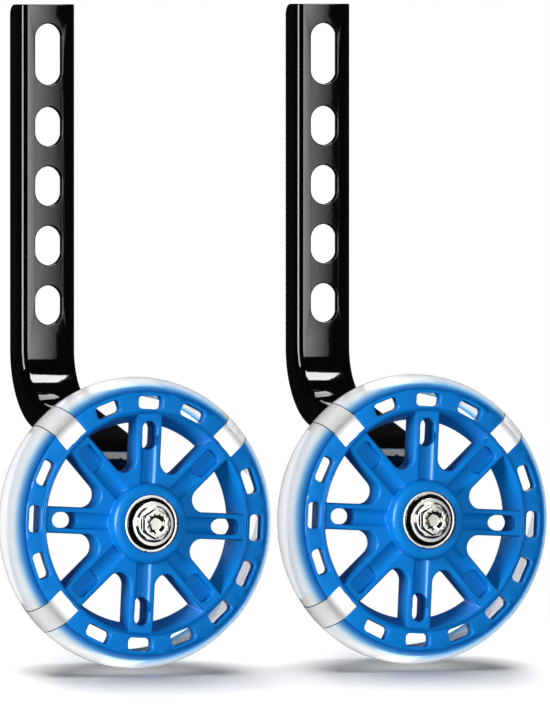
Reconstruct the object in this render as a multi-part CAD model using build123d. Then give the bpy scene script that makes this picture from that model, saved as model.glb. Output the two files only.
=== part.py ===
from build123d import *
import math
import os

# Tyre and moulded core, in mm
WHEEL_R = 55.0  # from the axle to the crown of the tread
CROWN_R = 12.6  # round section of the tread
TREAD_T = 5.4  # tyre over the core, at the crown
RIB_RISE = 1.6  # anchor rib round the back of the web, inside the tyre
RIB_W = 2.0
RIM_W = 20.6  # over the two faces of the rim
RIM_H = 8.4  # rim from the lip's inner edge out to the tyre
LIP_W = 1.2
LIP_RISE = 0.7
LIP_EDGE = 0.35  # broken edges of the lip
RIM_TAPER = 3.5  # how far the rim's inner wall closes in towards the wheel's middle
INNER_WALL = 1.8
WEB_T = 4.5  # web at the front, between the rim's inner wall and the tyre
STIFFENER_T = 1.6  # short ribs behind the web
STIFFENER_DEPTH = 5.0
WHEEL_TURN = -2.8  # how far the wheel has rolled from upright, in degrees

# Spokes
SPOKE_COUNT = 8
SPOKE_W = 10.0
SPOKE_T = 9.5
SPOKE_SET = 0.6  # front of the spokes behind the lip
SPOKE_EDGE = 0.5
GAP_FILLET = 4.8  # round inner end of the gap between two spokes
TROUGH_W = 6.2  # shallow trough along each spoke
TROUGH_DEPTH = 1.9
POCKET_L = 10.8  # pocket or slot at the outer end of the trough
POCKET_W = 6.6
POCKET_DEPTH = 3.2
POCKET_CORNER = 2.2
POCKET_LAND = 2.6  # between the pocket and the lip
SPOKE_SLOT_W = 6.0

# Windows through the rim's web
WINDOW_COUNT = 16  # even places round the rim, some of them taken by lights
WINDOW_L = 10.0
WINDOW_CORNER = 1.6
WINDOW_LAND = 0.7  # between the lip and a window
WINDOW_WALL = 1.6  # between a window and the tyre

# Light modules let into the rim and the tyre
LED_PLACES = (2, 6, 10)  # which of the window places they take
LED_W = 10.6
LENS_COVER = 1.0  # tyre over the clear lens
LED_VENT_R = 0.5
LED_VENT_DEPTH = 1.0
LED_VENT_IN = 1.5  # vent hole from the housing's inner end
LED_VENT_SIDE = 1.7  # and from its middle

# Hub boss and the two ball bearings, each with a rubber seal on its outward face
HUB_FRONT = 15.9  # ends of the boss, from the rim's middle
HUB_REAR = 9.7
BOSS_R = 15.2
BOSS_ROUND = 2.4
HUB_BORE_R = 9.0
BEARING_OD = 22.0
BEARING_ID = 8.0
BEARING_W = 7.0
BEARING_SET = 0.4  # bearing's face behind the hub's end
INNER_LAND_R = 6.05
RUN_CLEAR = 0.08
SEAL_R = 9.6
SEAL_T = 0.35
SEAL_SET = 0.3  # seal's face behind the ring's face
SEAL_GAP = 0.2  # between a seal and the inner ring

# Axle bolt and what it clamps
AXLE_FIT = 0.03  # radial clearance of the shank in what it holds
HEAD_AF = 10.0
HEAD_H = 3.6  # with its flange
FLANGE_R = 7.0
FLANGE_T = 1.3
FLANGE_EDGE = 0.35
DISH_R = 3.3  # dished top of the head
DISH_FLOOR_R = 2.5
DISH_DEPTH = 1.6
WASHER_R = 8.4
WASHER_T = 1.6
WASHER_HOLE_R = 4.2
SLEEVE_R = 6.0
BUSH_L = 1.8  # between the rear bearing and the bracket
NUT_AF = 13.0
NUT_HEX_H = 6.2
HEX_BEVEL = 0.5  # bevelled corners of the head and the nut
NUT_COLLAR_R = 5.7
NUT_COLLAR_H = 1.8
NUT_COLLAR_WALL = 0.6
THREAD_END = 1.1  # how far the bolt stands out of the nut

# Bracket, a pressed channel
SHEET_T = 2.5
CHANNEL_W = 23.2
CHANNEL_D = 10.8
CHANNEL_R = 3.2  # outer corner between web and flange
LEG_SET_BACK = 68.7  # upright leg behind the axle tab
LEG_SLOPE = 16.6  # sloping leg below the horizontal, in degrees
BEND_R = 20.0
TAB_BEND_R = 16.0
TAB_RISE = 28.2  # from the axle to the corner of the lower bend
TAB_HOLE_R = 4.2
TAB_END_R = 8.8  # round foot of the tab about the axle
TAB_TAPER = 20.0  # height above the axle where the tab has the channel's full width
TAB_BARE = 12.0  # height above the axle that has no flanges
TOP_ROUND = 4.0  # rear top corner of each flange
SLOT_W = 11.0
SHORT_SLOT_L = 15.0
SHORT_SLOT_COUNT = 4
SHORT_SLOT_PITCH = 22.6
LONG_SLOT_L = 23.4
BEND_LAND = 9.6  # from the bend up to the lowest slot
LONG_SLOT_LAND = 8.3  # from the top short slot to the long one
TOP_LAND = 7.3

# The pair stands side by side
UNIT_GAP = 5.2  # between the two treads

# Places that follow, along the axle from the wheel's middle with the front positive
RIM_FACE = RIM_W / 2
LIP_FACE = RIM_FACE + LIP_RISE
SPOKE_FRONT = LIP_FACE - SPOKE_SET
SPOKE_BACK = SPOKE_FRONT - SPOKE_T
WEB_BACK = RIM_FACE - WEB_T
HUB_W = HUB_FRONT + HUB_REAR
FRONT_FACE = HUB_FRONT - BEARING_SET
FRONT_SEAT = FRONT_FACE - BEARING_W
HEAD_SEAT = FRONT_FACE + WASHER_T
HEAD_TOP = HEAD_SEAT + HEAD_H

# Places that follow behind the wheel's middle
REAR_FACE = HUB_REAR - BEARING_SET
REAR_SEAT = REAR_FACE - BEARING_W
TAB_FACE = REAR_FACE + BUSH_L
NUT_SEAT = TAB_FACE + SHEET_T + WASHER_T
NUT_END = NUT_SEAT + NUT_HEX_H + NUT_COLLAR_H

# Radii that follow
CORE_R = WHEEL_R - TREAD_T
BEAD_R = CORE_R - WINDOW_WALL
LIP_R = CORE_R - RIM_H
LIP_OUT = LIP_R + LIP_W
WAIST_R = LIP_R - RIM_TAPER
WINDOW_W = RIM_H - LIP_W - WINDOW_LAND - WINDOW_WALL
WINDOW_R = LIP_OUT + WINDOW_LAND + WINDOW_W / 2
POCKET_R = LIP_R - POCKET_LAND - POCKET_L / 2
SHANK_R = BEARING_ID / 2 - AXLE_FIT
SPOKE_STEP = 360 / SPOKE_COUNT
WINDOW_STEP = 360 / WINDOW_COUNT

# Heights of the bracket above the ground
TAB_CORNER_Z = WHEEL_R + TAB_RISE
BEND_CORNER_Z = TAB_CORNER_Z + LEG_SET_BACK * math.tan(math.radians(LEG_SLOPE))
BEND_TOP_Z = BEND_CORNER_Z + BEND_R * math.tan(math.radians(90 - LEG_SLOPE) / 2)
LOW_SLOT_Z = BEND_TOP_Z + BEND_LAND + SHORT_SLOT_L / 2
HIGH_SLOT_Z = LOW_SLOT_Z + (SHORT_SLOT_COUNT - 1) * SHORT_SLOT_PITCH
LONG_SLOT_Z = HIGH_SLOT_Z + SHORT_SLOT_L / 2 + LONG_SLOT_LAND + LONG_SLOT_L / 2
TOP_Z = LONG_SLOT_Z + LONG_SLOT_L / 2 + TOP_LAND
LEG_Y = TAB_FACE + LEG_SET_BACK
FOOT_Z = WHEEL_R - CHANNEL_W / 2

# The wheel is drawn face on, then stood up with its axle along Y
WHEEL_FRAME = Plane(origin=(0, 0, WHEEL_R), x_dir=(1, 0, 0), z_dir=(0, -1, 0)).location
# The origin lies on the ground in the middle of the pair
DEPTH_SHIFT = (HEAD_TOP - LEG_Y - CHANNEL_D) / 2
UNIT_PITCH = 2 * WHEEL_R + UNIT_GAP


def tube(outer_r, inner_r, low, high):
    """A plain ring round the axle, from low to high."""
    ring = Circle(outer_r) - Circle(inner_r)
    return extrude(Pos(0, 0, low) * ring, high - low)


def rod(radius, low, high):
    """A plain round bar along the axle, from low to high."""
    return extrude(Pos(0, 0, low) * Circle(radius), high - low)


def turned(outline):
    """A closed outline of (radius, place along the axle) points, revolved."""
    return revolve(Plane.XZ * make_face(Polyline(*outline, close=True)), Axis.Z)


def hex_block(across_flats, low, high):
    """A hexagon along the axle, one corner up, with the corners of both ends bevelled."""
    corner_r = across_flats / math.sqrt(3)
    hexagon = Rot(0, 0, 90) * RegularPolygon(corner_r, 6)
    ends = rod(corner_r, low, high)
    ends = chamfer(ends.edges().filter_by(GeomType.CIRCLE), HEX_BEVEL)
    return extrude(Pos(0, 0, low) * hexagon, high - low) & ends


def spokes():
    """Eight bars that cross at the hub, with round roots and a trough along each."""
    bars = Sketch()
    for i in range(SPOKE_COUNT // 2):
        bars += Rot(0, 0, i * SPOKE_STEP) * Rectangle(2 * LIP_OUT, SPOKE_W)
    roots = [v for v in bars.vertices() if Vector(v).length < LIP_R]
    web = extrude(Pos(0, 0, SPOKE_BACK) * fillet(roots, GAP_FILLET), SPOKE_T)
    web = chamfer(web.faces().sort_by(Axis.Z)[-1].edges(), SPOKE_EDGE)
    trough_r = (TROUGH_W**2 / 4 + TROUGH_DEPTH**2) / (2 * TROUGH_DEPTH)
    lift = SPOKE_FRONT + trough_r - TROUGH_DEPTH
    trough = Pos(POCKET_R / 2, 0, lift) * Rot(0, 90, 0) * Cylinder(trough_r, POCKET_R)
    for i in range(SPOKE_COUNT):
        web -= Rot(0, 0, i * SPOKE_STEP) * trough
    return web


def rim():
    """Web with a lip at the front, a tapered inner wall behind it and an anchor rib round it."""
    web_r = WAIST_R + INNER_WALL + RIM_TAPER * WEB_BACK / LIP_FACE
    outline = [
        (WAIST_R, 0),
        (LIP_R, LIP_FACE - LIP_EDGE),
        (LIP_R + LIP_EDGE, LIP_FACE),
        (LIP_OUT - LIP_EDGE, LIP_FACE),
        (LIP_OUT, LIP_FACE - LIP_EDGE),
        (LIP_OUT, RIM_FACE),
        (CORE_R, RIM_FACE),
        (CORE_R, WEB_BACK + RIB_W),
        (CORE_R + RIB_RISE, WEB_BACK + RIB_W),
        (CORE_R + RIB_RISE, WEB_BACK),
        (web_r, WEB_BACK),
        (WAIST_R + INNER_WALL, 0),
    ]
    return turned(outline)


def stiffeners():
    """Ribs behind the web, one in the middle of each land between two windows."""
    low = WEB_BACK - STIFFENER_DEPTH
    high = RIM_FACE - WEB_T / 2
    length = CORE_R - WAIST_R
    bar = Pos(WAIST_R + length / 2, 0, (low + high) / 2) * Box(length, STIFFENER_T, high - low)
    inner_r = WAIST_R + INNER_WALL / 2
    between = [(inner_r, 0), (inner_r + RIM_TAPER, LIP_FACE), (BEAD_R, LIP_FACE), (BEAD_R, 0)]
    bar &= turned(between)
    return [Rot(0, 0, (i + 0.5) * WINDOW_STEP) * bar for i in range(WINDOW_COUNT)]


def boss():
    """Round-ended collar that holds a bearing at each end."""
    section = Pos(BOSS_R / 2, (HUB_FRONT - HUB_REAR) / 2) * Rectangle(BOSS_R, HUB_W)
    section = fillet(section.vertices().group_by(Axis.X)[-1], BOSS_ROUND)
    return revolve(Plane.XZ * section, Axis.Z)


def spoke_ends():
    """Cutters at the outer ends of the spokes: slots right through and blind pockets in turn."""
    slot = extrude(SlotOverall(POCKET_L, SPOKE_SLOT_W), HUB_W, both=True)
    floor = Pos(0, 0, SPOKE_FRONT - POCKET_DEPTH)
    pocket = extrude(floor * RectangleRounded(POCKET_L, POCKET_W, POCKET_CORNER), HUB_W)
    cutters = []
    for i in range(SPOKE_COUNT):
        shape = pocket if i % 2 else slot
        cutters.append(Rot(0, 0, i * SPOKE_STEP) * Pos(POCKET_R, 0, 0) * shape)
    return cutters


def windows():
    """Cutters for the windows at the places that hold no light."""
    window = extrude(RectangleRounded(WINDOW_W, WINDOW_L, WINDOW_CORNER), HUB_W, both=True)
    places = [i for i in range(WINDOW_COUNT) if i not in LED_PLACES]
    return [Rot(0, 0, i * WINDOW_STEP) * Pos(WINDOW_R, 0, 0) * window for i in places]


def led_block():
    """Space on the X axis for a light module, from the lip out past the tread."""
    length = WHEEL_R - LIP_OUT
    return Pos(LIP_OUT + length / 2, 0, 0) * Box(length, LED_W, 2 * RIM_W)


def led_notches():
    """Cutters in the rim for the three light modules."""
    return [Rot(0, 0, i * WINDOW_STEP) * led_block() for i in LED_PLACES]


def hub():
    """The one-piece moulded core."""
    core = spokes() + rim() + boss() + stiffeners()
    for cutter in spoke_ends() + windows() + led_notches():
        core -= cutter
    core -= rod(HUB_BORE_R, -HUB_W, HUB_W)
    core -= rod(BEARING_OD / 2, FRONT_SEAT, HUB_W)
    return core - rod(BEARING_OD / 2, -HUB_W, -REAR_SEAT)


def crowned_ring(inner_r, inset):
    """Ring round the axle with a round crown, set in from the tread."""
    crown = Pos(WHEEL_R - CROWN_R, 0) * Circle(CROWN_R - inset)
    inside = Rectangle(2 * inner_r, 4 * CROWN_R)
    return revolve(Plane.XZ * (crown - inside), Axis.Z)


def tyre():
    """Clear tyre cast over the core's anchor rib, with a bead behind the web, round the lights."""
    ring = crowned_ring(BEAD_R, 0) - rod(CORE_R, WEB_BACK, HUB_W)
    ring -= rod(CORE_R + RIB_RISE, WEB_BACK, WEB_BACK + RIB_W)
    light = led_lens() + (led_block() & rod(CORE_R, -HUB_W, HUB_W))
    for place in LED_PLACES:
        ring -= Rot(0, 0, place * WINDOW_STEP) * light
    return ring


def led_housing():
    """White housing let into the rim, with a tiny vent hole in its front face."""
    block = led_block() & rod(CORE_R, -RIM_FACE, RIM_FACE)
    vent = rod(LED_VENT_R, RIM_FACE - LED_VENT_DEPTH, HUB_W)
    return block - Pos(LIP_OUT + LED_VENT_IN, LED_VENT_SIDE, 0) * vent


def led_lens():
    """Clear lens outside the housing, inside the tyre."""
    return led_block() & crowned_ring(CORE_R, LENS_COVER)


def outer_ring():
    """Bearing's outer ring with its sealed ball space, stepped for the seal at its front."""
    half = BEARING_W / 2
    step = half - SEAL_SET - SEAL_T
    ring = tube(BEARING_OD / 2, INNER_LAND_R + RUN_CLEAR, -half, half)
    return ring - rod(SEAL_R, step, BEARING_W)


def seal():
    """Thin ring that closes the front face of a bearing."""
    face = BEARING_W / 2 - SEAL_SET
    return tube(SEAL_R, INNER_LAND_R + SEAL_GAP, face - SEAL_T, face)


def inner_ring():
    """Bearing's inner ring, clamped on the axle."""
    return tube(INNER_LAND_R, BEARING_ID / 2, -BEARING_W / 2, BEARING_W / 2)


def axle_bolt():
    """Bolt with a flanged hex head, dished on top."""
    flange = rod(FLANGE_R, HEAD_SEAT, HEAD_SEAT + FLANGE_T)
    flange = chamfer(flange.edges().filter_by(GeomType.CIRCLE), FLANGE_EDGE)
    bolt = flange + hex_block(HEAD_AF, HEAD_SEAT, HEAD_TOP)
    bolt += rod(SHANK_R, -NUT_END - THREAD_END, HEAD_SEAT)
    dish = Cone(DISH_FLOOR_R, DISH_R, DISH_DEPTH)
    return bolt - Pos(0, 0, HEAD_TOP - DISH_DEPTH / 2) * dish


def lock_nut():
    """Hex nut with a round collar for the nylon ring."""
    nut = hex_block(NUT_AF, -NUT_SEAT - NUT_HEX_H, -NUT_SEAT)
    nut += rod(NUT_COLLAR_R, -NUT_END, -NUT_SEAT - NUT_HEX_H)
    nut -= rod(BEARING_ID / 2, -NUT_END, -NUT_SEAT)
    return nut - rod(NUT_COLLAR_R - NUT_COLLAR_WALL, -NUT_END, -NUT_SEAT - NUT_HEX_H)


def nylon_insert():
    """Locking ring inside the nut's collar."""
    ring_r = NUT_COLLAR_R - NUT_COLLAR_WALL
    return tube(ring_r, BEARING_ID / 2, -NUT_END, -NUT_SEAT - NUT_HEX_H)


def channel_section():
    """Channel with its web on the X axis and its flanges below."""
    outer = Pos(0, -CHANNEL_D / 2) * Rectangle(CHANNEL_W, CHANNEL_D)
    outer = fillet(outer.vertices().group_by(Axis.Y)[-1], CHANNEL_R)
    hollow_w = CHANNEL_W - 2 * SHEET_T
    hollow = Pos(0, -SHEET_T - CHANNEL_D / 2) * Rectangle(hollow_w, CHANNEL_D)
    hollow = fillet(hollow.vertices().group_by(Axis.Y)[-1], CHANNEL_R - SHEET_T)
    return outer - hollow


def leg_slot(length, height):
    """Cutter for one slot of the upright leg."""
    face = Plane(origin=(0, LEG_Y, height), x_dir=(0, 0, 1), z_dir=(0, 1, 0))
    return extrude(face * SlotOverall(length, SLOT_W), 2 * SHEET_T, both=True)


def tab_end():
    """Cutter that narrows the tab to a round foot about the axle."""
    shoulder = Pos(0, TAB_TAPER + SHEET_T / 2) * Rectangle(CHANNEL_W, SHEET_T)
    foot = make_hull(Circle(TAB_END_R).edges() + shoulder.edges())
    blank_h = TAB_TAPER + CHANNEL_W
    blank = Pos(0, TAB_TAPER - blank_h / 2) * Rectangle(2 * CHANNEL_W, blank_h)
    face = Plane(origin=(0, TAB_FACE, WHEEL_R), x_dir=(1, 0, 0), z_dir=(0, -1, 0))
    return extrude(face * (blank - foot), 2 * CHANNEL_D, both=True)


def tab_flange_cut():
    """Cutter that runs the flanges out above the axle, so that the foot is flat."""
    web_back = TAB_FACE + SHEET_T
    rear = TAB_FACE + TAB_BEND_R
    outline = Polyline(
        (web_back, WHEEL_R + TAB_BARE),
        (rear, WHEEL_R + TAB_TAPER),
        (rear, FOOT_Z),
        (web_back, FOOT_Z),
        close=True,
    )
    return extrude(Plane.YZ * make_face(outline), CHANNEL_W, both=True)


def bracket():
    """Pressed channel: slotted upright leg, sloping leg and a tab for the axle."""
    path = FilletPolyline(
        (0, LEG_Y, TOP_Z),
        (0, LEG_Y, BEND_CORNER_Z),
        (0, TAB_FACE, TAB_CORNER_Z),
        (0, TAB_FACE, FOOT_Z),
        radius=(BEND_R, TAB_BEND_R),
    )
    top = Plane(origin=(0, LEG_Y, TOP_Z), x_dir=(1, 0, 0), z_dir=(0, 0, -1))
    channel = sweep(top * channel_section(), path=path)
    top_edges = channel.faces().sort_by(Axis.Z)[-1].edges().filter_by(Axis.X)
    channel = fillet(top_edges.group_by(Axis.Y)[-1], TOP_ROUND)
    for i in range(SHORT_SLOT_COUNT):
        channel -= leg_slot(SHORT_SLOT_L, LOW_SLOT_Z + i * SHORT_SLOT_PITCH)
    channel -= leg_slot(LONG_SLOT_L, LONG_SLOT_Z)
    channel -= tab_end()
    channel -= tab_flange_cut()
    hole = Pos(0, TAB_FACE, WHEEL_R) * Rot(90, 0, 0) * Cylinder(TAB_HOLE_R, 4 * SHEET_T)
    return channel - hole


def bearing_pieces():
    """Both bearings, the rear one turned round: outer ring, inner ring and seal each."""
    front = Pos(0, 0, FRONT_FACE - BEARING_W / 2)
    rear = Rot(180, 0, 0) * Pos(0, 0, REAR_FACE - BEARING_W / 2)
    pieces = {}
    for end, place in (("front", front), ("rear", rear)):
        pieces[f"{end}_outer_ring"] = place * outer_ring()
        pieces[f"{end}_inner_ring"] = place * inner_ring()
        pieces[f"{end}_seal"] = place * seal()
    return pieces


def wheel_pieces():
    """Everything on the axle, drawn face on."""
    rolled = Rot(0, 0, WHEEL_TURN)
    pieces = {"hub": rolled * hub(), "tyre": rolled * tyre(), **bearing_pieces()}
    for number, place in enumerate(LED_PLACES, 1):
        turn = Rot(0, 0, WHEEL_TURN + place * WINDOW_STEP)
        pieces[f"led_housing_{number}"] = turn * led_housing()
        pieces[f"led_lens_{number}"] = turn * led_lens()
    pieces["bearing_spacer"] = tube(SLEEVE_R, BEARING_ID / 2, -REAR_SEAT, FRONT_SEAT)
    pieces["rear_bush"] = tube(SLEEVE_R, BEARING_ID / 2, -TAB_FACE, -REAR_FACE)
    pieces["head_washer"] = tube(WASHER_R, WASHER_HOLE_R, FRONT_FACE, HEAD_SEAT)
    pieces["nut_washer"] = tube(WASHER_R, WASHER_HOLE_R, -NUT_SEAT, -TAB_FACE - SHEET_T)
    pieces["axle_bolt"] = axle_bolt()
    pieces["lock_nut"] = lock_nut()
    pieces["nylon_insert"] = nylon_insert()
    return pieces


def unit_pieces():
    """One training wheel standing over the origin."""
    pieces = {name: WHEEL_FRAME * piece for name, piece in wheel_pieces().items()}
    pieces["bracket"] = bracket()
    return pieces


os.makedirs("parts", exist_ok=True)
unit = unit_pieces()
for side, sign in (("left", -1), ("right", 1)):
    place = Pos(sign * UNIT_PITCH / 2, DEPTH_SHIFT, 0)
    for name, piece in unit.items():
        export_step(place * piece, f"parts/{side}_{name}.step")
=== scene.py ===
import math

import bmesh
import bpy
from mathutils import Matrix, Vector
from mathutils.bvhtree import BVHTree


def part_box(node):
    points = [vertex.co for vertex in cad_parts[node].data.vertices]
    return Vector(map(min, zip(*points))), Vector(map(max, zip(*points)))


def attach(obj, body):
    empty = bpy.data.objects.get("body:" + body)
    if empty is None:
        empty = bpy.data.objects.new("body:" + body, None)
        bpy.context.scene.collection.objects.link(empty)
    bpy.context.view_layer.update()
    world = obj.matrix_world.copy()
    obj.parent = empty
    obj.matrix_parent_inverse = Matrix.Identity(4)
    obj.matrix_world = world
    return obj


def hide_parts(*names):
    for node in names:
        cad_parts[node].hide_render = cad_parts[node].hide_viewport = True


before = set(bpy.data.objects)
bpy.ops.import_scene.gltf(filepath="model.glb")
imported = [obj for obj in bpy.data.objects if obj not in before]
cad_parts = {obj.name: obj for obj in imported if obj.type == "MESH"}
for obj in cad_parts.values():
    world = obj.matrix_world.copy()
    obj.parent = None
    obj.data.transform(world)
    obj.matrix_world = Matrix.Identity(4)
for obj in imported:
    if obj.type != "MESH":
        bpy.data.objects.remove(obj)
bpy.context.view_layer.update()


# Brackets: one pressed steel channel on each side, with a slotted leg, a bend and a tab for the
# axle. The press rounds the cut edges and leaves the web very slightly crowned, so that a light's
# reflection fades across it, and a thick coat of stoved black enamel covers the lot.

SIDES = ("left", "right")
ENAMEL_EDGE = 0.00045  # every length is in metres, unless its name ends in MM
WEB_CROWN_R = 0.09
ORANGE_PEEL_MM = 2.2
HAZE_MM = 16
MM_PER_M = 1000
WELD = 2e-6  # vertices closer together than this become one
SHARP_ANGLE = math.radians(24)
BEVEL_STEPS = 2

hub_low, hub_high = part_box("right_hub")
AXLE_X = (hub_low.x + hub_high.x) / 2
AXLE_Z = (hub_low.z + hub_high.z) / 2


def linear(hex_colour):
    """An sRGB hex colour as linear red, green and blue, with a full alpha."""
    parts = [int(hex_colour[i : i + 2], 16) / 255 for i in (0, 2, 4)]
    return [p / 12.92 if p <= 0.04045 else ((p + 0.055) / 1.055) ** 2.4 for p in parts] + [1.0]


def node(tree, kind, values=None, **settings):
    """Adds one shader node. values gives its inputs: numbers, colours or another node's output."""
    added = tree.nodes.new("ShaderNode" + kind)
    for name, setting in settings.items():
        setattr(added, name, setting)
    for name, value in (values or {}).items():
        if isinstance(value, bpy.types.NodeSocket):
            tree.links.new(value, added.inputs[name])
        else:
            added.inputs[name].default_value = value
    return added


def bare_finish(name):
    """A new material with an empty node tree."""
    finish = bpy.data.materials.new(name)
    finish.use_nodes = True
    finish.node_tree.nodes.clear()
    return finish, finish.node_tree


def from_axle(tree):
    """Where a point lies in the plane of its own wheel, measured from that wheel's axle."""
    place = node(tree, "TexCoord").outputs["Object"]
    parts = node(tree, "SeparateXYZ", {"Vector": place})
    side = node(tree, "Math", {0: parts.outputs["X"]}, operation="SIGN")
    middle = node(tree, "Math", {0: side.outputs["Value"], 1: AXLE_X}, operation="MULTIPLY")
    across = node(
        tree, "Math", {0: parts.outputs["X"], 1: middle.outputs["Value"]}, operation="SUBTRACT"
    )
    rise = node(tree, "Math", {0: parts.outputs["Z"], 1: AXLE_Z}, operation="SUBTRACT")
    return node(
        tree, "CombineXYZ", {"X": across.outputs["Value"], "Z": rise.outputs["Value"]}
    ).outputs["Vector"]


def shown(name, shape, finish, body, slot, *stands_for):
    """Makes the shape a piece with a finish, a body to ride on and the nodes it stands for."""
    mesh = bpy.data.meshes.new(name)
    shape.to_mesh(mesh)
    shape.free()
    mesh.shade_smooth()
    mesh.materials.append(finish)
    piece = bpy.data.objects.new(name, mesh)
    bpy.context.scene.collection.objects.link(piece)
    even = piece.modifiers.new("even_normals", "WEIGHTED_NORMAL")
    even.weight = 100
    even.keep_sharp = False
    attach(piece, body)
    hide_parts(*stands_for)
    return piece


def softened(source, edge, reach=math.inf):
    """The shape of a CAD node, with the sharp edges within reach of the wheel's axle rounded."""
    shape = bmesh.new()
    shape.from_mesh(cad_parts[source].data)
    bmesh.ops.remove_doubles(shape, verts=shape.verts, dist=WELD)
    surface = BVHTree.FromBMesh(shape)
    corners = []
    for corner in shape.edges:
        across, _, rise = (corner.verts[0].co + corner.verts[1].co) / 2
        out = math.hypot(abs(across) - AXLE_X, rise - AXLE_Z)
        if out < reach and corner.is_manifold and corner.calc_face_angle() > SHARP_ANGLE:
            corners.append(corner)
    bmesh.ops.bevel(
        shape,
        geom=corners,
        offset=edge,
        affect="EDGES",
        segments=BEVEL_STEPS,
        profile=0.5,
        material=-1,
        clamp_overlap=False,
    )
    # On a narrow face the bevel can throw a vertex out, and such a one goes back to the CAD surface
    for vert in shape.verts:
        near, _, _, gap = surface.find_nearest(vert.co)
        if gap > edge:
            vert.co = near
    return shape


# Stoved enamel on steel: deep black, wet gloss, with the faint orange peel of a sprayed coat
enamel, tree = bare_finish("stoved_black_enamel")
place = node(tree, "TexCoord").outputs["Object"]
across = node(tree, "SeparateXYZ", {"Vector": from_axle(tree)}).outputs["X"]
square = node(tree, "Math", {0: across, 1: across}, operation="MULTIPLY")
sag = -1 / (2 * WEB_CROWN_R)  # an arc falls away by the square over twice its radius
crown = node(tree, "Math", {0: square.outputs["Value"], 1: sag}, operation="MULTIPLY")
bowed = node(tree, "Bump", {"Height": crown.outputs["Value"], "Strength": 1.0, "Distance": 1.0})
peel = node(tree, "TexNoise", {"Vector": place, "Scale": MM_PER_M / ORANGE_PEEL_MM, "Detail": 1.5})
relief = node(
    tree,
    "Bump",
    {
        "Height": peel.outputs["Fac"],
        "Strength": 0.03,
        "Distance": 0.0003,
        "Normal": bowed.outputs["Normal"],
    },
)
haze = node(tree, "TexNoise", {"Vector": place, "Scale": MM_PER_M / HAZE_MM, "Detail": 3.0})
gloss = node(tree, "MapRange", {"Value": haze.outputs["Fac"], "To Min": 0.05, "To Max": 0.1})
coat = node(
    tree,
    "BsdfPrincipled",
    {
        "Base Color": linear("040405"),
        "Roughness": gloss.outputs["Result"],
        "Coat Weight": 1.0,
        "Coat Roughness": 0.05,
        "Coat IOR": 1.55,
        "Normal": relief.outputs["Normal"],
        "Coat Normal": relief.outputs["Normal"],
    },
)
node(tree, "OutputMaterial", {"Surface": coat.outputs["BSDF"]})

for side in SIDES:
    bracket = softened(f"{side}_bracket", ENAMEL_EDGE)
    shown(
        f"{side}_bracket_enamelled",
        bracket,
        enamel,
        "brackets",
        "black_paint",
        f"{side}_bracket",
    )


# Hubs: the spoked core of each wheel, moulded in one piece of blue ABS with a boss for the two
# bearings. The mould's own edges are slightly rounded, and its faces leave a fine eroded grain.

MOULD_EDGE = 0.00035
BONDED_R = 0.0492  # beyond it the tyre is cast on, so the rim's edge stays sharp
GRAIN_MM = 0.6
FLOW_MM = 22

# Moulded ABS: an even, strong blue with a low satin sheen
abs_blue, tree = bare_finish("moulded_blue_abs")
place = node(tree, "TexCoord").outputs["Object"]
grain = node(tree, "TexNoise", {"Vector": place, "Scale": MM_PER_M / GRAIN_MM, "Detail": 2.0})
relief = node(
    tree, "Bump", {"Height": grain.outputs["Fac"], "Strength": 0.05, "Distance": 0.0001}
)
flow = node(tree, "TexNoise", {"Vector": place, "Scale": MM_PER_M / FLOW_MM, "Detail": 2.0})
satin = node(tree, "MapRange", {"Value": flow.outputs["Fac"], "To Min": 0.27, "To Max": 0.32})
skin = node(
    tree,
    "BsdfPrincipled",
    {
        "Base Color": linear("0875C8"),
        "Roughness": satin.outputs["Result"],
        "Specular IOR Level": 0.4,
        "Normal": relief.outputs["Normal"],
    },
)
node(tree, "OutputMaterial", {"Surface": skin.outputs["BSDF"]})

for side in SIDES:
    hub = softened(f"{side}_hub", MOULD_EDGE, BONDED_R)
    shown(f"{side}_hub_moulded", hub, abs_blue, f"{side}_wheel", "blue_plastic", f"{side}_hub")


# Ball bearings: ground steel rings pressed into the boss, each closed by a black rubber seal.
# The front one shows as a bright ring round the bolt, with the seal as a dark band inside it.

RING_EDGE = 0.00025
SEAL_EDGE = 0.0001
GRINDING_MM = 0.5  # real grinding marks are finer: drawn this coarse so that they show
BLOOM_MM = 1.1

# Ground steel: a bright mirror with fine rings left by the grinding wheel
bearing_steel, tree = bare_finish("ground_bearing_steel")
radius = node(tree, "VectorMath", {0: from_axle(tree)}, operation="LENGTH")
rings = node(
    tree,
    "TexNoise",
    {"W": radius.outputs["Value"], "Scale": MM_PER_M / GRINDING_MM},
    noise_dimensions="1D",
)
polish = node(tree, "MapRange", {"Value": rings.outputs["Fac"], "To Min": 0.08, "To Max": 0.16})
steel = node(
    tree,
    "BsdfPrincipled",
    {"Base Color": linear("F0F0EE"), "Metallic": 1.0, "Roughness": polish.outputs["Result"]},
)
node(tree, "OutputMaterial", {"Surface": steel.outputs["BSDF"]})

# Nitrile rubber: a dull black that swallows the light between the two bright rings
nitrile, tree = bare_finish("black_nitrile_rubber")
place = node(tree, "TexCoord").outputs["Object"]
bloom = node(tree, "TexNoise", {"Vector": place, "Scale": MM_PER_M / BLOOM_MM, "Detail": 2.0})
matt = node(tree, "MapRange", {"Value": bloom.outputs["Fac"], "To Min": 0.45, "To Max": 0.6})
rubber = node(
    tree,
    "BsdfPrincipled",
    {
        "Base Color": linear("070708"),
        "Roughness": matt.outputs["Result"],
        "Specular IOR Level": 0.2,
    },
)
node(tree, "OutputMaterial", {"Surface": rubber.outputs["BSDF"]})

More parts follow.
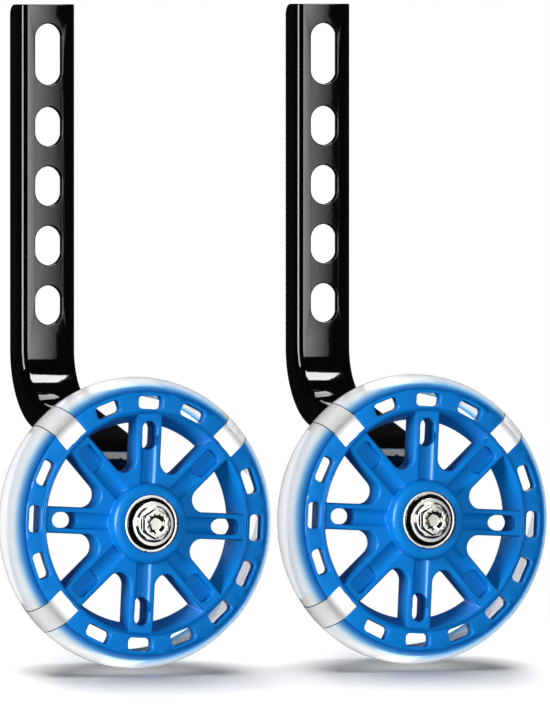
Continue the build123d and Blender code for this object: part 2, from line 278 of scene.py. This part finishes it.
for side in SIDES:
    for end in ("front", "rear"):
        for ring, body in (("outer", f"{side}_wheel"), ("inner", "brackets")):
            source = f"{side}_{end}_{ring}_ring"
            shape = softened(source, RING_EDGE)
            shown(f"{source}_ground", shape, bearing_steel, body, "bearing_steel", source)
        source = f"{side}_{end}_seal"
        shape = softened(source, SEAL_EDGE)
        shown(f"{source}_rubber", shape, nitrile, f"{side}_wheel", "seal_rubber", source)


# Axle: a bolt with a flanged hex head and a washer in front, a sleeve between the bearings, a bush
# and a washer behind, and a lock nut with its nylon ring. The bolt and the front washer are bright
# nickel plated, and the rest is zinc plated.

PLATE_EDGE = 0.00018
BUFFING_MM = 4
SPANGLE_MM = 2.8
WAX_MM = 1.4

# Nickel plate: a warm bright mirror, a little uneven where it was buffed
nickel, tree = bare_finish("bright_nickel_plate")
place = node(tree, "TexCoord").outputs["Object"]
smear = node(tree, "TexNoise", {"Vector": place, "Scale": MM_PER_M / BUFFING_MM, "Detail": 1.0})
polish = node(tree, "MapRange", {"Value": smear.outputs["Fac"], "To Min": 0.06, "To Max": 0.1})
plate = node(
    tree,
    "BsdfPrincipled",
    {"Base Color": linear("F2F0EA"), "Metallic": 1.0, "Roughness": polish.outputs["Result"]},
)
node(tree, "OutputMaterial", {"Surface": plate.outputs["BSDF"]})

# Zinc plate: duller and greyer than the nickel, with a cloudy spangle
zinc, tree = bare_finish("zinc_plated_steel")
place = node(tree, "TexCoord").outputs["Object"]
spangle = node(tree, "TexNoise", {"Vector": place, "Scale": MM_PER_M / SPANGLE_MM, "Detail": 4.0})
dull = node(tree, "MapRange", {"Value": spangle.outputs["Fac"], "To Min": 0.24, "To Max": 0.42})
plate = node(
    tree,
    "BsdfPrincipled",
    {"Base Color": linear("CFCFCB"), "Metallic": 1.0, "Roughness": dull.outputs["Result"]},
)
node(tree, "OutputMaterial", {"Surface": plate.outputs["BSDF"]})

# Natural nylon: a waxy off-white ring inside the nut's collar
nylon, tree = bare_finish("natural_nylon")
place = node(tree, "TexCoord").outputs["Object"]
wax = node(tree, "TexNoise", {"Vector": place, "Scale": MM_PER_M / WAX_MM, "Detail": 2.0})
sheen = node(tree, "MapRange", {"Value": wax.outputs["Fac"], "To Min": 0.4, "To Max": 0.55})
collar = node(
    tree, "BsdfPrincipled", {"Base Color": linear("E6E4DA"), "Roughness": sheen.outputs["Result"]}
)
node(tree, "OutputMaterial", {"Surface": collar.outputs["BSDF"]})

AXLE_PIECES = {
    "axle_bolt": (nickel, "bright_steel"),
    "head_washer": (nickel, "bright_steel"),
    "bearing_spacer": (zinc, "zinc_steel"),
    "rear_bush": (zinc, "zinc_steel"),
    "nut_washer": (zinc, "zinc_steel"),
    "lock_nut": (zinc, "zinc_steel"),
    "nylon_insert": (nylon, "nylon"),
}
for side in SIDES:
    for name, (finish, slot) in AXLE_PIECES.items():
        source = f"{side}_{name}"
        shape = softened(source, PLATE_EDGE)
        shown(f"{source}_finished", shape, finish, "brackets", slot, source)


# Light modules: a white ABS housing let into the rim at three places, with a clear acrylic lens
# outside it. Its base colour greys towards the lens: painted shade that stands in for the shade on
# the housing's curved outer end.

HOUSING_EDGE = 0.00025
LENS_EDGE = 0.0002
LIGHTS = (1, 2, 3)
# where the painted shade on the housing begins, and where it is full
SHADE_FROM_R = 0.0458
SHADE_TO_R = 0.0496
SHELL_FLOW_MM = 8
LENS_RIPPLE_MM = 5

# Moulded ABS: clean white with a light gloss, and painted shade as a grey fade towards the lens
abs_white, tree = bare_finish("moulded_white_abs")
place = node(tree, "TexCoord").outputs["Object"]
radius = node(tree, "VectorMath", {0: from_axle(tree)}, operation="LENGTH")
# Painted shade: the colour fades from white to grey towards the lens, for the shade on the curved
# end
painted_shade = node(
    tree,
    "MapRange",
    {"Value": radius.outputs["Value"], "From Min": SHADE_FROM_R, "From Max": SHADE_TO_R},
    interpolation_type="SMOOTHSTEP",
)
tone = node(
    tree,
    "MixRGB",
    {"Fac": painted_shade.outputs["Result"], "Color1": linear("FAFAFA"), "Color2": linear("A9ACAF")},
)
flow = node(tree, "TexNoise", {"Vector": place, "Scale": MM_PER_M / SHELL_FLOW_MM, "Detail": 2.0})
satin = node(tree, "MapRange", {"Value": flow.outputs["Fac"], "To Min": 0.2, "To Max": 0.3})
skin = node(
    tree,
    "BsdfPrincipled",
    {"Base Color": tone.outputs["Color"], "Roughness": satin.outputs["Result"]},
)
node(tree, "OutputMaterial", {"Surface": skin.outputs["BSDF"]})

# Clear acrylic: seen through the tyre as a faint block with darker edges
acrylic, tree = bare_finish("clear_acrylic")
place = node(tree, "TexCoord").outputs["Object"]
ripple = node(
    tree, "TexNoise", {"Vector": place, "Scale": MM_PER_M / LENS_RIPPLE_MM, "Detail": 1.0}
)
relief = node(
    tree, "Bump", {"Height": ripple.outputs["Fac"], "Strength": 0.03, "Distance": 0.0002}
)
clear = node(
    tree,
    "BsdfPrincipled",
    {
        "Base Color": linear("FCFDFF"),
        "Roughness": 0.03,
        "IOR": 1.12,  # against the tyre round it
        "Transmission Weight": 1.0,
        "Normal": relief.outputs["Normal"],
    },
)
node(tree, "OutputMaterial", {"Surface": clear.outputs["BSDF"]})

for side in SIDES:
    for number in LIGHTS:
        source = f"{side}_led_housing_{number}"
        shape = softened(source, HOUSING_EDGE)
        shown(f"{source}_white", shape, abs_white, f"{side}_wheel", "white_plastic", source)
        source = f"{side}_led_lens_{number}"
        shape = softened(source, LENS_EDGE)
        shown(f"{source}_clear", shape, acrylic, f"{side}_wheel", "clear_lens", source)


# Tyres: a ring of milky polyurethane cast over the core's anchor rib, with a round crown and a bead
# behind the core's web. It reaches a hair into the core, as a casting that has bonded to it does.
# Over the three lenses it is white, with painted shade as a grey line at each lens's edges.

CROWN_R = 0.0126
TREAD_T = 0.0054
BEAD_T = 0.0016
WEB_BACK = 0.0058
BOND = 0.00006  # how far the casting reaches into the core
CROWN_STEPS = 144
TURN_STEPS = 192
CAST_EDGE = 0.00008
CAST_RIPPLE_MM = 11

tyre_low, tyre_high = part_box("right_tyre")
housing_low, housing_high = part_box("right_led_housing_1")
WHEEL_R = (tyre_high.z - tyre_low.z) / 2
WHEEL_MIDDLE_Y = (housing_low.y + housing_high.y) / 2
CORE_R = WHEEL_R - TREAD_T
WHITE_FROM_R = 0.0536
BLUE_TO_R = 0.0500
LENS_HALF = 0.0053  # half of a lens's width
EDGE_SHADE_HALF = 0.00022  # half the width of a line of painted shade at a lens's edge

# Cast polyurethane: milky white, tinted by the blue core where it is thin over the rim
urethane, tree = bare_finish("cast_milky_polyurethane")
place = node(tree, "TexCoord").outputs["Object"]
ripple = node(
    tree, "TexNoise", {"Vector": place, "Scale": MM_PER_M / CAST_RIPPLE_MM, "Detail": 1.0}
)
relief = node(
    tree, "Bump", {"Height": ripple.outputs["Fac"], "Strength": 0.02, "Distance": 0.0005}
)
spot = from_axle(tree)
radius = node(tree, "VectorMath", {0: spot}, operation="LENGTH")
milk = node(
    tree,
    "MapRange",
    {"Value": radius.outputs["Value"], "From Min": BLUE_TO_R, "From Max": WHITE_FROM_R},
)
bead_r = CORE_R - BEAD_T / 4
on_bead = node(tree, "Math", {0: radius.outputs["Value"], 1: bead_r}, operation="LESS_THAN")
in_lens, on_edge_shade = 0.0, 0.0
for number in LIGHTS:
    low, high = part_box(f"right_led_housing_{number}")
    middle = (low + high) / 2
    out = Vector((middle.x - AXLE_X, 0, middle.z - AXLE_Z)).normalized()
    along = node(tree, "VectorMath", {0: spot, 1: out}, operation="DOT_PRODUCT")
    ahead = node(tree, "Math", {0: along.outputs["Value"], 1: 0.0}, operation="GREATER_THAN")
    beside = node(tree, "VectorMath", {0: spot, 1: (out.z, 0, -out.x)}, operation="DOT_PRODUCT")
    aside = node(tree, "Math", {0: beside.outputs["Value"]}, operation="ABSOLUTE")
    inner = node(tree, "Math", {0: aside.outputs["Value"], 1: LENS_HALF}, operation="LESS_THAN")
    edge_shade = node(
        tree, "Math", {0: aside.outputs["Value"], 1: LENS_HALF, 2: EDGE_SHADE_HALF}, operation="COMPARE"
    )
    in_lens = node(
        tree,
        "Math",
        {0: ahead.outputs["Value"], 1: inner.outputs["Value"], 2: in_lens},
        operation="MULTIPLY_ADD",
    ).outputs["Value"]
    on_edge_shade = node(
        tree,
        "Math",
        {0: ahead.outputs["Value"], 1: edge_shade.outputs["Value"], 2: on_edge_shade},
        operation="MULTIPLY_ADD",
    ).outputs["Value"]
not_blue = node(tree, "Math", {0: in_lens, 1: on_bead.outputs["Value"]}, operation="MAXIMUM")
whiteness = node(
    tree, "Math", {0: milk.outputs["Result"], 1: not_blue.outputs["Value"]}, operation="MAXIMUM"
)
tint = node(tree, "ValToRGB", {"Fac": whiteness.outputs["Value"]})
fade = tint.color_ramp
fade.elements[0].color = linear("1474D1")
fade.elements[1].color = linear("FDFDFE")
for step, shade in ((0.3, "459CE0"), (0.55, "96C9F1"), (0.8, "E0EEF9")):
    fade.elements.new(step).color = linear(shade)
# Painted shade: a grey line along each side of a lens, for the lens's dark edges seen through the
# tyre
edge_shaded = node(
    tree,
    "MixRGB",
    {"Fac": on_edge_shade, "Color1": tint.outputs["Color"], "Color2": linear("5A5F64")},
)
cloudy = node(tree, "MapRange", {"Value": milk.outputs["Result"], "To Min": 0.5, "To Max": 0.25})
clearness = node(
    tree, "Math", {0: cloudy.outputs["Result"], 1: on_bead.outputs["Value"]}, operation="MAXIMUM"
)
cast = node(
    tree,
    "BsdfPrincipled",
    {
        "Base Color": edge_shaded.outputs["Color"],
        "Roughness": 0.1,
        "IOR": 1.2,
        "Subsurface Weight": 0.7,
        "Subsurface Radius": (1.0, 1.0, 1.0),
        "Subsurface Scale": 0.006,
        "Transmission Weight": clearness.outputs["Value"],
        "Normal": relief.outputs["Normal"],
    },
)
node(tree, "OutputMaterial", {"Surface": cast.outputs["BSDF"]})

for side in SIDES:
    low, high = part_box(f"{side}_tyre")
    axle = Vector(((low.x + high.x) / 2, WHEEL_MIDDLE_Y, AXLE_Z))
    tyre = bmesh.new()
    crown_place = Matrix.Translation((WHEEL_R - CROWN_R, 0, 0))
    bmesh.ops.create_circle(tyre, segments=CROWN_STEPS, radius=CROWN_R, matrix=crown_place)
    front = [v for v in tyre.verts if v.co.y < 0] + [e for e in tyre.edges if e.verts[0].co.y < 0]
    bmesh.ops.bisect_plane(
        tyre, geom=front, plane_co=(CORE_R - BOND, 0, 0), plane_no=(1, 0, 0), clear_inner=True
    )
    bmesh.ops.bisect_plane(
        tyre,
        geom=tyre.verts[:] + tyre.edges[:],
        plane_co=(CORE_R - BEAD_T, 0, 0),
        plane_no=(1, 0, 0),
        clear_inner=True,
    )
    ends = sorted((v for v in tyre.verts if len(v.link_edges) == 1), key=lambda v: v.co.y)
    on_web = tyre.verts.new((CORE_R - BOND, -WEB_BACK - BOND, 0))
    at_bead = tyre.verts.new((CORE_R - BEAD_T, -WEB_BACK - BOND, 0))
    for pair in ((ends[0], on_web), (on_web, at_bead), (at_bead, ends[-1])):
        tyre.edges.new(pair)
    bmesh.ops.spin(
        tyre,
        geom=tyre.verts[:] + tyre.edges[:],
        axis=(0, 1, 0),
        cent=(0, 0, 0),
        angle=math.tau,
        steps=TURN_STEPS,
        use_merge=True,
    )
    bmesh.ops.remove_doubles(tyre, verts=tyre.verts, dist=WELD)
    bmesh.ops.recalc_face_normals(tyre, faces=tyre.faces)
    corners = [e for e in tyre.edges if e.calc_face_angle() > SHARP_ANGLE]
    bmesh.ops.bevel(
        tyre,
        geom=corners,
        offset=CAST_EDGE,
        affect="EDGES",
        segments=BEVEL_STEPS,
        profile=0.5,
        material=-1,
    )
    bmesh.ops.translate(tyre, verts=tyre.verts, vec=axle)
    shown(f"{side}_tyre_milky", tyre, urethane, f"{side}_wheel", "clear_tyre", f"{side}_tyre")


# Studio: a pale floor that falls a little to the front, so that the soft shadows under the wheels
# show, lamps that each shade one group of pieces, panels that only glossy faces mirror, and a long
# lens.

FLOOR_HALF = 3.0
FLOOR_CELLS = 8
FLOOR_BACK = 0.06  # how far it goes on behind the wheels
FLOOR_FALL = math.radians(14)
PAPER_CLOUD_MM = 100 / 3
BACKDROP = 1.0  # what the camera sees
HORIZON_GLOW, ZENITH_GLOW = 0.28, 0.02  # what shades the object
GLOW_FROM, GLOW_TO = 0.1, 0.5  # sines of the heights between which the one fades to the other
MIRRORED_GLOW = 0.012
OVERHEAD = 1.0  # a panel that hangs higher than this is tipped to face the object
AZIMUTH, ELEVATION = math.radians(-24.5), math.radians(1.2)
DISTANCE = 8.0
FAR_END = 100.0
SENSOR_MM = 24.0
FRAME_TALL = 0.2671  # what the frame spans at the wheels
AIM_NEARER, AIM_HEIGHT = 0.001, 0.1183  # in front of the wheels' middle, and above the ground
TARGET = Vector((0.0, WHEEL_MIDDLE_Y - AIM_NEARER, AIM_HEIGHT))

# Matt paper: a plain near-white that takes the soft shadows and gives no shine
paper, tree = bare_finish("matt_white_paper")
place = node(tree, "TexCoord").outputs["Object"]
cloud = node(
    tree, "TexNoise", {"Vector": place, "Scale": MM_PER_M / PAPER_CLOUD_MM, "Detail": 2.0}
)
matt = node(tree, "MapRange", {"Value": cloud.outputs["Fac"], "To Min": 0.85, "To Max": 0.95})
sheet = node(
    tree,
    "BsdfPrincipled",
    {
        "Base Color": linear("F8F8F8"),
        "Roughness": matt.outputs["Result"],
        "Specular IOR Level": 0.0,
    },
)
node(tree, "OutputMaterial", {"Surface": sheet.outputs["BSDF"]})

ground = bmesh.new()
bmesh.ops.create_grid(ground, x_segments=FLOOR_CELLS, y_segments=FLOOR_CELLS, size=FLOOR_HALF)
bmesh.ops.translate(ground, verts=ground.verts, vec=(0, FLOOR_BACK - FLOOR_HALF, 0))
fall = Matrix.Rotation(FLOOR_FALL, 3, "X")
bmesh.ops.rotate(ground, verts=ground.verts, cent=(0, 0, 0), matrix=fall)
under_tyre = CROWN_R * (1 - 1 / math.cos(FLOOR_FALL))
bmesh.ops.translate(ground, verts=ground.verts, vec=(0, WHEEL_MIDDLE_Y, under_tyre))
floor_mesh = bpy.data.meshes.new("floor")
ground.to_mesh(floor_mesh)
ground.free()
floor_mesh.materials.append(paper)
floor = bpy.data.objects.new("floor", floor_mesh)
bpy.context.scene.collection.objects.link(floor)
floor.visible_diffuse = False
floor.visible_glossy = False

# The backdrop is white to the camera, bright round the horizon for shading, dark in reflections
world = bpy.data.worlds.new("studio")
world.use_nodes = True
tree = world.node_tree
tree.nodes.clear()
rays = node(tree, "LightPath")
direct = node(tree, "Math", {0: rays.outputs["Diffuse Depth"], 1: 1.0}, operation="LESS_THAN")
through = node(
    tree,
    "Math",
    {0: rays.outputs["Is Transmission Ray"], 1: direct.outputs["Value"]},
    operation="MULTIPLY",
)
straight = node(
    tree,
    "Math",
    {0: rays.outputs["Is Camera Ray"], 1: through.outputs["Value"]},
    operation="MAXIMUM",
)
heading = node(tree, "SeparateXYZ", {"Vector": node(tree, "TexCoord").outputs["Generated"]})
climb = node(tree, "Math", {0: heading.outputs["Z"]}, operation="ABSOLUTE")
horizon = node(
    tree,
    "MapRange",
    {
        "Value": climb.outputs["Value"],
        "From Min": GLOW_FROM,
        "From Max": GLOW_TO,
        "To Min": HORIZON_GLOW,
        "To Max": ZENITH_GLOW,
    },
)
mirrored = node(
    tree,
    "MapRange",
    {
        "Value": rays.outputs["Is Glossy Ray"],
        "To Min": horizon.outputs["Result"],
        "To Max": MIRRORED_GLOW,
    },
)
glow = node(
    tree,
    "MapRange",
    {
        "Value": straight.outputs["Value"],
        "To Min": mirrored.outputs["Result"],
        "To Max": BACKDROP,
    },
)
back = node(tree, "Background", {"Color": linear("FFFFFF"), "Strength": glow.outputs["Result"]})
node(tree, "OutputWorld", {"Surface": back.outputs["Background"]})
bpy.context.scene.world = world


def light_group(name, pieces, state="INCLUDE"):
    """A group of pieces for a lamp to light, or to leave out."""
    group = bpy.data.collections.new(name)
    for piece in pieces:
        group.objects.link(piece)
    for entry in group.collection_objects:
        entry.light_linking.link_state = state
    return group


def made_of(*finishes):
    """The pieces that have one of these finishes."""
    meshes = [p for p in bpy.data.objects if p.type == "MESH"]
    return [p for p in meshes if p.data.materials[:1] and p.data.materials[0] in finishes]


# One lamp draws the floor's shadows, and the others shade the object without touching the floor.
# No lamp is mirrored, and the floor's lamp isn't seen through the clear pieces either.
floor_only = light_group("floor_only", [floor])
object_only = light_group("object_only", [floor], "EXCLUDE")
tyres_only = light_group("tyres_only", made_of(urethane, abs_white))
hubs_only = light_group("hubs_only", made_of(abs_blue))
mirrors_only = light_group("mirrors_only", made_of(enamel, nickel, bearing_steel))

# name, where the light comes from, spread in degrees, strength, what it lights
LAMPS = (
    ("overhead", (0.0, 0.2, 1.0), 50, 5.6, floor_only),
    ("front_fill", (-0.1, -1.0, 0.0), 30, 1.9, object_only),
    ("left_window", (-1.0, -0.28, 0.1), 25, 3.8, hubs_only),
    ("back_fill", (0.4, 1.0, 0.3), 60, 0.8, object_only),
    ("tyre_top", (0.2, -0.4, 0.9), 60, 1.9, tyres_only),
    ("tyre_low", (0.2, -0.4, -0.9), 60, 1.7, tyres_only),
    ("tyre_left", (-1.0, -0.3, 0.0), 60, 1.5, tyres_only),
)
for name, source, spread, strength, lit in LAMPS:
    sun = bpy.data.lights.new(name, "SUN")
    sun.energy = strength
    sun.angle = math.radians(spread)
    lamp = bpy.data.objects.new(name, sun)
    lamp.rotation_euler = (-Vector(source)).to_track_quat("-Z", "Y").to_euler()
    lamp.visible_glossy = False
    lamp.visible_transmission = lit is not floor_only
    lamp.light_linking.receiver_collection = lit
    if lit is not floor_only:
        lamp.light_linking.blocker_collection = object_only
    bpy.context.scene.collection.objects.link(lamp)

# Panels show only in reflections: name, azimuths in degrees from the front (right positive),
# heights and distance in metres, brightness at the left and right edges, what mirrors it
PANELS = (
    ("front_wall", (-1.0, 28.0), (-0.8, 2.0), 6.0, (4.4, 0.3), mirrors_only),
    ("left_strip", (-80.0, -62.0), (-0.6, 2.0), 4.0, (6.0, 6.0), mirrors_only),
    ("top_panel", (-5.0, 55.0), (3.6, 5.0), 2.6, (9.0, 9.0), mirrors_only),
    ("hub_strip", (-125.0, -64.0), (-0.6, 2.5), 4.0, (16.0, 16.0), hubs_only),
)
for name, turns, heights, away, brightness, lit in PANELS:
    turn = math.radians(sum(turns) / 2)
    stand = Vector((math.sin(turn) * away, -math.cos(turn) * away, sum(heights) / 2))
    panel = bpy.data.lights.new(name, "AREA")
    panel.shape = "RECTANGLE"
    panel.size = 2 * away * math.tan(math.radians(turns[1] - turns[0]) / 2)
    panel.size_y = heights[1] - heights[0]
    panel.energy = math.pi * panel.size * panel.size_y  # brightness is then the same at any size
    panel.use_nodes = True
    tree = panel.node_tree
    tree.nodes.clear()
    face = node(tree, "NewGeometry").outputs["Parametric"]
    across = node(tree, "SeparateXYZ", {"Vector": face})
    shade = node(
        tree,
        "MapRange",
        {"Value": across.outputs["X"], "To Min": brightness[0], "To Max": brightness[1]},
    )
    lit_face = node(tree, "Emission", {"Strength": shade.outputs["Result"]})
    node(tree, "OutputLight", {"Surface": lit_face.outputs["Emission"]})
    lamp = bpy.data.objects.new(name, panel)
    lamp.location = stand
    facing = Vector((0, 0, stand.z if heights[0] < OVERHEAD else 0))
    lamp.rotation_euler = (facing - stand).to_track_quat("-Z", "Y").to_euler()
    lamp.light_linking.receiver_collection = lit
    lamp.visible_diffuse = False
    lamp.visible_camera = False
    lamp.visible_transmission = False
    bpy.context.scene.collection.objects.link(lamp)

# A long lens far off, so that there is hardly any perspective
optics = bpy.data.cameras.new("camera")
optics.sensor_fit = "VERTICAL"
optics.sensor_height = SENSOR_MM
optics.lens = SENSOR_MM * DISTANCE / FRAME_TALL
optics.clip_end = FAR_END
camera = bpy.data.objects.new("camera", optics)
towards = Vector(
    (
        math.sin(AZIMUTH) * math.cos(ELEVATION),
        -math.cos(AZIMUTH) * math.cos(ELEVATION),
        math.sin(ELEVATION),
    )
)
camera.location = TARGET + towards * DISTANCE
camera.rotation_euler = (-towards).to_track_quat("-Z", "Y").to_euler()
bpy.context.scene.collection.objects.link(camera)
bpy.context.scene.camera = camera
bpy.context.scene.view_settings.view_transform = "Standard"
